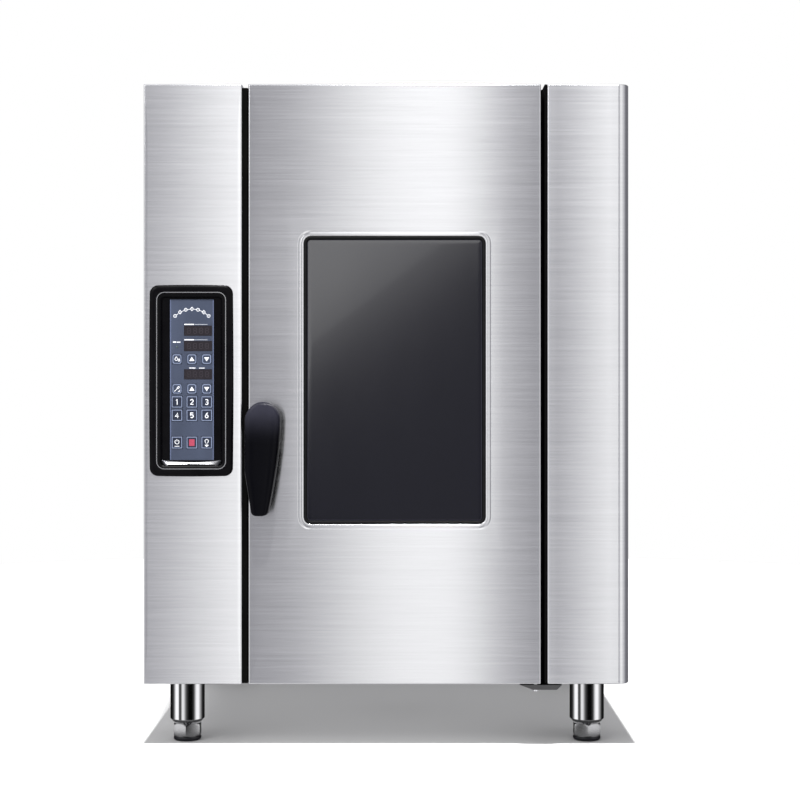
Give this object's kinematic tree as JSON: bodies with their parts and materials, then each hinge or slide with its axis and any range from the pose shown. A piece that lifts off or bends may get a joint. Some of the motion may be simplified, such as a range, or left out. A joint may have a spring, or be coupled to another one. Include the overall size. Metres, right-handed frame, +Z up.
{
  "type": "combi steamer oven",
  "caption": "Upright combination steam and convection oven with one windowed door hinged on the right, a turn handle, a recessed keypad on the left and four levelling legs.",
  "frame": {"origin": "centre of the bounding box at floor level, under the levelling feet", "axes": "+X to the right as one faces the door, +Y from the door to the back, +Z up"},
  "size_m": [0.85, 0.88, 1.204],
  "materials": {
    "brushed_panel": "horizontally brushed stainless steel",
    "plain_sheet": "plain stainless sheet, satin",
    "polished_steel": "polished stainless steel",
    "black_rubber": "matt black silicone",
    "black_plastic": "satin to glossy black moulding",
    "tinted_glass": "dark tinted, polished",
    "clear_glass": "clear, polished",
    "keypad_film": "blue printed membrane, satin",
    "key_film": "dark blue key with a light blue frame",
    "key_red": "red key with a light blue frame",
    "display_window": "unlit dark red-brown display window",
    "dark_enamel": "dark grey paint",
    "valve_brass": "machined brass"
  },
  "bodies": {
    "cabinet": {"base_frame": "plain_sheet", "left_side_panel": "brushed_panel", "right_side_panel": "brushed_panel", "top_cover": "brushed_panel", "rear_panel": "plain_sheet", "control_fascia": "brushed_panel", "right_fascia": "brushed_panel", "leg_front_left": "polished_steel", "leg_front_right": "polished_steel", "leg_rear_left": "polished_steel", "leg_rear_right": "polished_steel", "cavity_liner": "plain_sheet", "door_gasket": "black_rubber", "rack_left": "polished_steel", "rack_right": "polished_steel", "fan_baffle": "plain_sheet", "fan_motor": "dark_enamel", "heating_coil": "dark_enamel", "cavity_lamp": "clear_glass", "exhaust_stack": "plain_sheet", "drain_pipe": "plain_sheet", "steam_generator": "plain_sheet", "water_inlet_valve": "valve_brass", "cable_gland": "black_plastic", "electrical_panel": "dark_enamel", "control_bezel": "black_plastic", "keypad_panel": "keypad_film", "display_board": "display_window", "hinge_bracket_lower": "plain_sheet", "hinge_bracket_upper": "plain_sheet", "latch_keeper": "plain_sheet"},
    "door": {"door_outer_panel": "brushed_panel", "door_inner_panel": "plain_sheet", "glass_seal": "black_rubber", "outer_glass": "tinted_glass", "inner_glass": "clear_glass", "hinge_pivot_lower": "plain_sheet", "hinge_pivot_upper": "plain_sheet"},
    "handle": {"door_handle": "black_plastic", "latch_spindle": "black_plastic"},
    "fan": {"fan_wheel": "plain_sheet"},
    "foot_front_left": {"levelling_foot_front_left": "polished_steel"},
    "foot_front_right": {"levelling_foot_front_right": "polished_steel"},
    "foot_rear_left": {"levelling_foot_rear_left": "polished_steel"},
    "foot_rear_right": {"levelling_foot_rear_right": "polished_steel"},
    "button_moisture": {"key_moisture": "key_film"},
    "button_temperature_up": {"key_temperature_up": "key_film"},
    "button_temperature_down": {"key_temperature_down": "key_film"},
    "button_core_probe": {"key_core_probe": "key_film"},
    "button_time_up": {"key_time_up": "key_film"},
    "button_time_down": {"key_time_down": "key_film"},
    "button_program_1": {"key_program_1": "key_film"},
    "button_program_2": {"key_program_2": "key_film"},
    "button_program_3": {"key_program_3": "key_film"},
    "button_program_4": {"key_program_4": "key_film"},
    "button_program_5": {"key_program_5": "key_film"},
    "button_program_6": {"key_program_6": "key_film"},
    "button_power": {"key_power": "key_film"},
    "button_stop": {"key_stop": "key_red"},
    "button_lamp": {"key_lamp": "key_film"}
  },
  "joints": [
    {"name": "door_hinge", "type": "hinge", "parent": "cabinet", "child": "door", "pos_m": [0.261, -0.371, 0.619], "axis": [0, 0, 1], "range_deg": [0, 120]},
    {"name": "handle_turn", "type": "hinge", "parent": "door", "child": "handle", "pos_m": [-0.2165, -0.38, 0.5835], "axis": [0, -1, 0], "range_deg": [0, 90]},
    {"name": "fan_spin", "type": "hinge", "parent": "cabinet", "child": "fan", "pos_m": [-0.3, 0.02, 0.649], "axis": [1, 0, 0], "continuous": true},
    {"name": "levelling_front_left", "type": "slide", "parent": "cabinet", "child": "foot_front_left", "axis": [0, 0, -1], "range_m": [0, 0.025]},
    {"name": "levelling_front_right", "type": "slide", "parent": "cabinet", "child": "foot_front_right", "axis": [0, 0, -1], "range_m": [0, 0.025]},
    {"name": "levelling_rear_left", "type": "slide", "parent": "cabinet", "child": "foot_rear_left", "axis": [0, 0, -1], "range_m": [0, 0.025]},
    {"name": "levelling_rear_right", "type": "slide", "parent": "cabinet", "child": "foot_rear_right", "axis": [0, 0, -1], "range_m": [0, 0.025]},
    {"name": "press_moisture", "type": "slide", "parent": "cabinet", "child": "button_moisture", "axis": [0, 1, 0], "range_m": [0, 0.0008], "stiffness_N_per_m": 1500},
    {"name": "press_temperature_up", "type": "slide", "parent": "cabinet", "child": "button_temperature_up", "axis": [0, 1, 0], "range_m": [0, 0.0008], "stiffness_N_per_m": 1500},
    {"name": "press_temperature_down", "type": "slide", "parent": "cabinet", "child": "button_temperature_down", "axis": [0, 1, 0], "range_m": [0, 0.0008], "stiffness_N_per_m": 1500},
    {"name": "press_core_probe", "type": "slide", "parent": "cabinet", "child": "button_core_probe", "axis": [0, 1, 0], "range_m": [0, 0.0008], "stiffness_N_per_m": 1500},
    {"name": "press_time_up", "type": "slide", "parent": "cabinet", "child": "button_time_up", "axis": [0, 1, 0], "range_m": [0, 0.0008], "stiffness_N_per_m": 1500},
    {"name": "press_time_down", "type": "slide", "parent": "cabinet", "child": "button_time_down", "axis": [0, 1, 0], "range_m": [0, 0.0008], "stiffness_N_per_m": 1500},
    {"name": "press_program_1", "type": "slide", "parent": "cabinet", "child": "button_program_1", "axis": [0, 1, 0], "range_m": [0, 0.0008], "stiffness_N_per_m": 1500},
    {"name": "press_program_2", "type": "slide", "parent": "cabinet", "child": "button_program_2", "axis": [0, 1, 0], "range_m": [0, 0.0008], "stiffness_N_per_m": 1500},
    {"name": "press_program_3", "type": "slide", "parent": "cabinet", "child": "button_program_3", "axis": [0, 1, 0], "range_m": [0, 0.0008], "stiffness_N_per_m": 1500},
    {"name": "press_program_4", "type": "slide", "parent": "cabinet", "child": "button_program_4", "axis": [0, 1, 0], "range_m": [0, 0.0008], "stiffness_N_per_m": 1500},
    {"name": "press_program_5", "type": "slide", "parent": "cabinet", "child": "button_program_5", "axis": [0, 1, 0], "range_m": [0, 0.0008], "stiffness_N_per_m": 1500},
    {"name": "press_program_6", "type": "slide", "parent": "cabinet", "child": "button_program_6", "axis": [0, 1, 0], "range_m": [0, 0.0008], "stiffness_N_per_m": 1500},
    {"name": "press_power", "type": "slide", "parent": "cabinet", "child": "button_power", "axis": [0, 1, 0], "range_m": [0, 0.0008], "stiffness_N_per_m": 1500},
    {"name": "press_stop", "type": "slide", "parent": "cabinet", "child": "button_stop", "axis": [0, 1, 0], "range_m": [0, 0.0008], "stiffness_N_per_m": 1500},
    {"name": "press_lamp", "type": "slide", "parent": "cabinet", "child": "button_lamp", "axis": [0, 1, 0], "range_m": [0, 0.0008], "stiffness_N_per_m": 1500}
  ]
}
